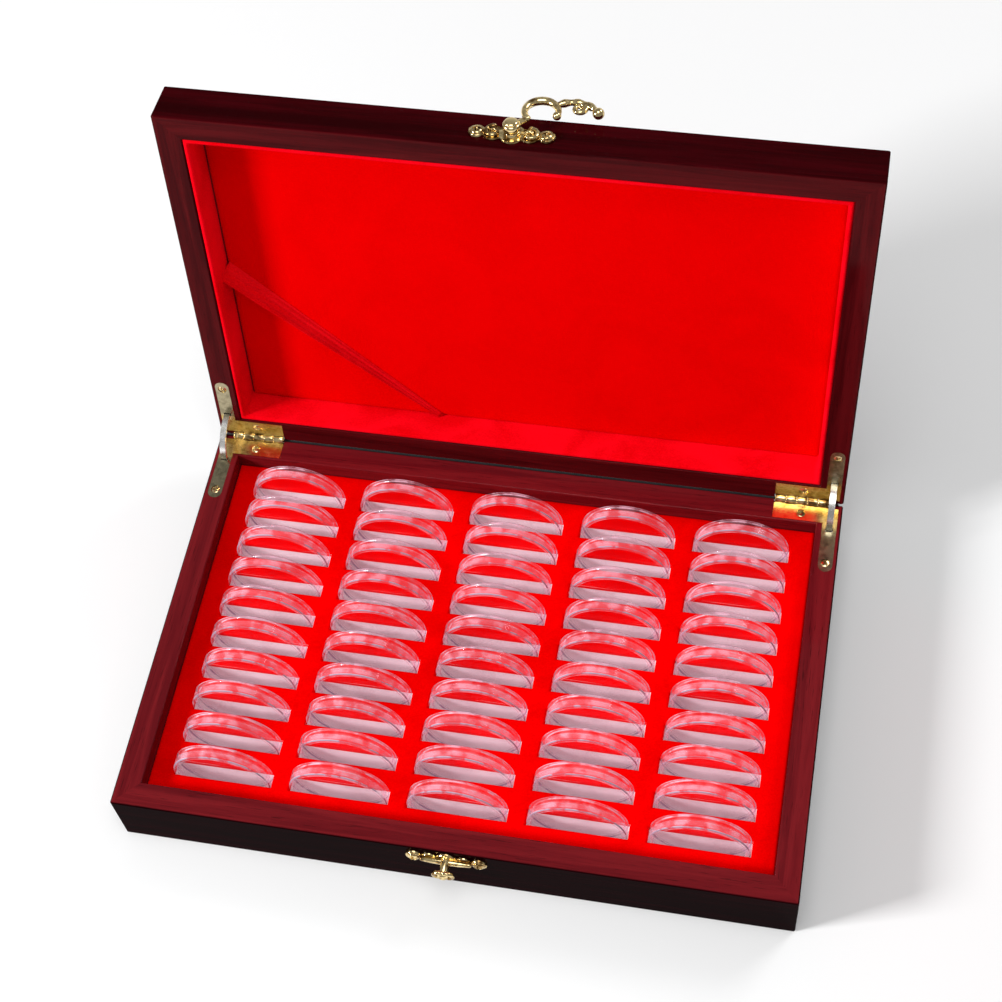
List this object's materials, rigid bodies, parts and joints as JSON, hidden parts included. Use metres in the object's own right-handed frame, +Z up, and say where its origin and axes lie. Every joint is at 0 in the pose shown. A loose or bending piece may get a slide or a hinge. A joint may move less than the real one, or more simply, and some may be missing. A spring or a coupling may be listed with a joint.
{
  "type": "coin display tray",
  "caption": "Hinged wooden coin display case: lacquered mitred box with a slotted velvet insert, round clear capsules on edge, padded lid, quadrant hinges and hook clasp.",
  "frame": {"origin": "centre of the case's underside, where it stands", "axes": "+Z up, -Y towards the front with the clasp, +X to the right along the long side"},
  "size_m": [0.315, 0.2739, 0.245],
  "materials": {
    "lacquered_wood": "gloss lacquer",
    "panel_board": "satin",
    "red_velvet": "short pile",
    "felt": "felt",
    "white_foam": "closed-cell foam",
    "clear_capsule": "clear polished",
    "gilt_brass": "polished gilt",
    "hinge_steel": "bright"
  },
  "bodies": {
    "base": {"base_bottom_panel": "panel_board", "base_felt": "felt", "base_front_wall": "lacquered_wood", "base_hinge_leaf_left": "gilt_brass", "base_hinge_leaf_right": "gilt_brass", "base_hinge_screws": "gilt_brass", "base_left_wall": "lacquered_wood", "base_rear_wall": "lacquered_wood", "base_right_wall": "lacquered_wood", "clasp_catch": "gilt_brass", "clasp_catch_screws": "gilt_brass", "hinge_pin_left": "hinge_steel", "hinge_pin_right": "hinge_steel", "insert_foam": "white_foam", "insert_velvet": "red_velvet"},
    "lid": {"clasp_lid_plate": "gilt_brass", "clasp_lid_screws": "gilt_brass", "clasp_pivot": "gilt_brass", "lid_front_wall": "lacquered_wood", "lid_hinge_leaf_left": "gilt_brass", "lid_hinge_leaf_right": "gilt_brass", "lid_hinge_screws": "gilt_brass", "lid_left_wall": "lacquered_wood", "lid_lining_front": "red_velvet", "lid_lining_left": "red_velvet", "lid_lining_rear": "red_velvet", "lid_lining_right": "red_velvet", "lid_panel_pad": "red_velvet", "lid_rear_wall": "lacquered_wood", "lid_ribbon": "red_velvet", "lid_right_wall": "lacquered_wood", "lid_top_panel": "lacquered_wood"},
    "stay_left": {"stay_left": "hinge_steel"},
    "stay_right": {"stay_right": "hinge_steel"},
    "hook": {"clasp_hook": "gilt_brass"},
    "capsules_row_01": {"capsules_row_01": "clear_capsule"},
    "capsules_row_02": {"capsules_row_02": "clear_capsule"},
    "capsules_row_03": {"capsules_row_03": "clear_capsule"},
    "capsules_row_04": {"capsules_row_04": "clear_capsule"},
    "capsules_row_05": {"capsules_row_05": "clear_capsule"},
    "capsules_row_06": {"capsules_row_06": "clear_capsule"},
    "capsules_row_07": {"capsules_row_07": "clear_capsule"},
    "capsules_row_08": {"capsules_row_08": "clear_capsule"},
    "capsules_row_09": {"capsules_row_09": "clear_capsule"},
    "capsules_row_10": {"capsules_row_10": "clear_capsule"}
  },
  "joints": [
    {"name": "lid_hinge", "type": "hinge", "parent": "base", "child": "lid", "pos_m": [0, 0.1025, 0.0351], "axis": [-1, 0, 0], "range_deg": [-98.4, 0], "deforming": ["lid_ribbon"]},
    {"name": "stay_left_slide", "type": "hinge", "parent": "base", "child": "stay_left", "pos_m": [0, 0.1025, 0.0351], "axis": [-1, 0, 0], "range_deg": [-49.2, 0]},
    {"name": "stay_right_slide", "type": "hinge", "parent": "base", "child": "stay_right", "pos_m": [0, 0.1025, 0.0351], "axis": [-1, 0, 0], "range_deg": [-49.2, 0]},
    {"name": "clasp_hook_swing", "type": "hinge", "parent": "lid", "child": "hook", "pos_m": [0, 0.14169, 0.24159], "axis": [0, 0.1461, 0.9893], "range_deg": [-135, 20]},
    {"name": "lift_row_01", "type": "slide", "parent": "base", "child": "capsules_row_01", "axis": [0, 0, 1], "range_m": [0, 0.03]},
    {"name": "lift_row_02", "type": "slide", "parent": "base", "child": "capsules_row_02", "axis": [0, 0, 1], "range_m": [0, 0.03]},
    {"name": "lift_row_03", "type": "slide", "parent": "base", "child": "capsules_row_03", "axis": [0, 0, 1], "range_m": [0, 0.03]},
    {"name": "lift_row_04", "type": "slide", "parent": "base", "child": "capsules_row_04", "axis": [0, 0, 1], "range_m": [0, 0.03]},
    {"name": "lift_row_05", "type": "slide", "parent": "base", "child": "capsules_row_05", "axis": [0, 0, 1], "range_m": [0, 0.03]},
    {"name": "lift_row_06", "type": "slide", "parent": "base", "child": "capsules_row_06", "axis": [0, 0, 1], "range_m": [0, 0.03]},
    {"name": "lift_row_07", "type": "slide", "parent": "base", "child": "capsules_row_07", "axis": [0, 0, 1], "range_m": [0, 0.03]},
    {"name": "lift_row_08", "type": "slide", "parent": "base", "child": "capsules_row_08", "axis": [0, 0, 1], "range_m": [0, 0.03]},
    {"name": "lift_row_09", "type": "slide", "parent": "base", "child": "capsules_row_09", "axis": [0, 0, 1], "range_m": [0, 0.03]},
    {"name": "lift_row_10", "type": "slide", "parent": "base", "child": "capsules_row_10", "axis": [0, 0, 1], "range_m": [0, 0.03]}
  ],
  "couplings": [
    {"joint": "stay_left_slide", "follows": "lid_hinge", "ratio": 0.5},
    {"joint": "stay_right_slide", "follows": "lid_hinge", "ratio": 0.5}
  ]
}
